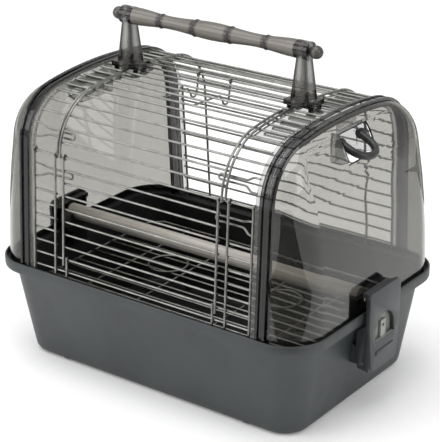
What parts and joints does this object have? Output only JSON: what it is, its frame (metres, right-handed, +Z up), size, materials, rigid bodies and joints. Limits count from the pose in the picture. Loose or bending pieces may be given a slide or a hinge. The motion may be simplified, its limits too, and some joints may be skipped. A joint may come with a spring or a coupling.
{
  "type": "bird travel carrier",
  "caption": "Pet bird carrier with a deep tray, clear end caps, curved wire cage, hinged door and roof hatch, perch, floor grille, swing latches and carry handle.",
  "frame": {"origin": "centre of the footprint, on the surface that the tray stands on", "axes": "+X along the length to the right end cap, -Y towards the front door, +Z up"},
  "size_m": [0.3676, 0.238, 0.3222],
  "materials": {
    "tray": "satin",
    "cap": "clear smoked, polished",
    "ring": "clear smoked, polished",
    "handle": "clear smoked, polished",
    "wire": "bright zinc plating",
    "steel": "bright",
    "latch": "satin",
    "black_plastic": "satin",
    "strap_loop": "satin",
    "perch": "smooth, pale"
  },
  "bodies": {
    "carrier": {"tray": "tray", "tray_floor": "tray", "floor_grille": "wire", "left_end_cap": "cap", "right_end_cap": "cap", "left_ring_frame": "ring", "right_ring_frame": "ring", "front_sill": "wire", "front_column_left": "wire", "front_column_right": "wire", "left_hoop_grille": "wire", "right_hoop_grille": "wire", "roof_grille": "wire", "rear_grille": "wire", "hatch_catch_left": "wire", "hatch_catch_right": "wire", "door_catch_left": "wire", "door_catch_right": "wire", "handle_grip": "handle", "handle_rod": "steel", "handle_post_left": "handle", "handle_post_right": "handle", "handle_knob_left": "handle", "handle_knob_right": "handle", "handle_screws_left": "steel", "handle_screws_right": "steel", "strap_bracket_left": "cap", "strap_bracket_right": "cap", "perch": "perch", "perch_holder_left": "black_plastic", "perch_holder_right": "black_plastic"},
    "roof_hatch": {"roof_hatch": "wire"},
    "front_door": {"front_door": "wire"},
    "latch_left": {"latch_left": "latch", "latch_pin_left": "steel"},
    "latch_right": {"latch_right": "latch", "latch_pin_right": "steel"},
    "strap_loop_left": {"strap_loop_left": "strap_loop"},
    "strap_loop_right": {"strap_loop_right": "strap_loop"},
    "treat_hanger": {"treat_hanger": "wire"}
  },
  "joints": [
    {"name": "hatch_hinge", "type": "hinge", "parent": "carrier", "child": "roof_hatch", "pos_m": [0, -0.024, 0.26302], "axis": [-1, 0, 0], "range_deg": [0, 95]},
    {"name": "door_hinge", "type": "hinge", "parent": "roof_hatch", "child": "front_door", "pos_m": [0, -0.10739, 0.211], "axis": [-1, 0, 0], "range_deg": [0, 110]},
    {"name": "latch_left_pivot", "type": "hinge", "parent": "carrier", "child": "latch_left", "pos_m": [-0.174, 0, 0.05], "axis": [0, -1, 0], "range_deg": [0, 95]},
    {"name": "latch_right_pivot", "type": "hinge", "parent": "carrier", "child": "latch_right", "pos_m": [0.174, 0, 0.05], "axis": [0, 1, 0], "range_deg": [0, 95]},
    {"name": "strap_loop_left_pivot", "type": "hinge", "parent": "carrier", "child": "strap_loop_left", "pos_m": [-0.1432, 0, 0.24501], "axis": [0, 1, 0], "range_deg": [-8, 70]},
    {"name": "strap_loop_right_pivot", "type": "hinge", "parent": "carrier", "child": "strap_loop_right", "pos_m": [0.1432, 0, 0.24501], "axis": [0, -1, 0], "range_deg": [-8, 70]},
    {"name": "treat_hanger_swing", "type": "hinge", "parent": "carrier", "child": "treat_hanger", "pos_m": [-0.017, 0.024, 0.26302], "axis": [1, 0, 0], "range_deg": [-4, 25]}
  ]
}
